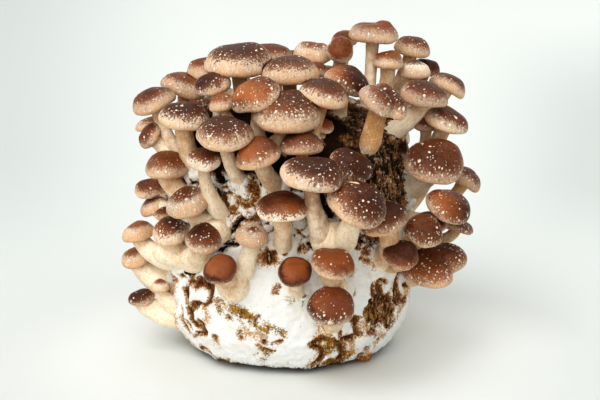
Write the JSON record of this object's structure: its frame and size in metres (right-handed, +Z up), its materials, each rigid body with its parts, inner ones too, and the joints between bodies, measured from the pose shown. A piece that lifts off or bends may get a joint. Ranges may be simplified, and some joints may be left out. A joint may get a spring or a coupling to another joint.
{
  "type": "shiitake grow block",
  "caption": "Round sawdust block bound by white mycelium, standing on its flat base, with a dense crowd of young brown-capped shiitake growing out of its sides and top.",
  "frame": {"origin": "middle of the block's flat underside, on the surface that it stands on", "axes": "+Z is up, -Y is the side that the picture shows, +X is to the right in the picture; the block's own axis is Z"},
  "size_m": [0.2282, 0.2454, 0.2058],
  "materials": {
    "mushroom": "slightly moist brown caps with pale flecks, over cream stems",
    "mycelium_block": "dry matt white mycelium skin with brown sawdust showing in patches"
  },
  "bodies": {
    "root": {"back_mushroom_62": "mushroom", "back_mushroom_63": "mushroom", "back_mushroom_66": "mushroom", "back_mushroom_67": "mushroom", "back_mushroom_68": "mushroom", "back_mushroom_69": "mushroom", "back_mushroom_70": "mushroom", "back_mushroom_71": "mushroom", "back_mushroom_72": "mushroom", "back_mushroom_73": "mushroom", "back_mushroom_74": "mushroom", "back_mushroom_75": "mushroom", "back_mushroom_76": "mushroom", "back_mushroom_77": "mushroom", "back_mushroom_79": "mushroom", "back_pair_64_65": "mushroom", "back_pair_78_80": "mushroom", "block": "mycelium_block", "crown_mushroom_03": "mushroom", "crown_mushroom_04": "mushroom", "crown_mushroom_05": "mushroom", "crown_mushroom_06": "mushroom", "crown_mushroom_07": "mushroom", "crown_mushroom_10": "mushroom", "crown_mushroom_11": "mushroom", "crown_mushroom_18": "mushroom", "crown_mushroom_35": "mushroom", "crown_pair_08_61": "mushroom", "crown_pair_09_60": "mushroom", "crown_pair_12_13": "mushroom", "crown_pair_14_15": "mushroom", "crown_pair_36_59": "mushroom", "crown_pair_37_41": "mushroom", "front_mushroom_29": "mushroom", "front_mushroom_32": "mushroom", "front_mushroom_33": "mushroom", "front_mushroom_34": "mushroom", "front_mushroom_38": "mushroom", "front_mushroom_53": "mushroom", "front_mushroom_54": "mushroom", "front_mushroom_55": "mushroom", "front_pair_30_31": "mushroom", "front_pair_52_51": "mushroom", "left_mushroom_02": "mushroom", "left_mushroom_42": "mushroom", "left_mushroom_56": "mushroom", "left_pair_46_43": "mushroom", "left_pair_58_57": "mushroom", "left_trio_39_40_01": "mushroom", "left_trio_44_45_50": "mushroom", "left_trio_48_47_49": "mushroom", "right_mushroom_16": "mushroom", "right_mushroom_17": "mushroom", "right_mushroom_21": "mushroom", "right_mushroom_23": "mushroom", "right_mushroom_27": "mushroom", "right_pair_19_20": "mushroom", "right_pair_24_81": "mushroom", "right_pair_25_22": "mushroom", "right_pair_26_28": "mushroom"}
  },
  "joints": []
}
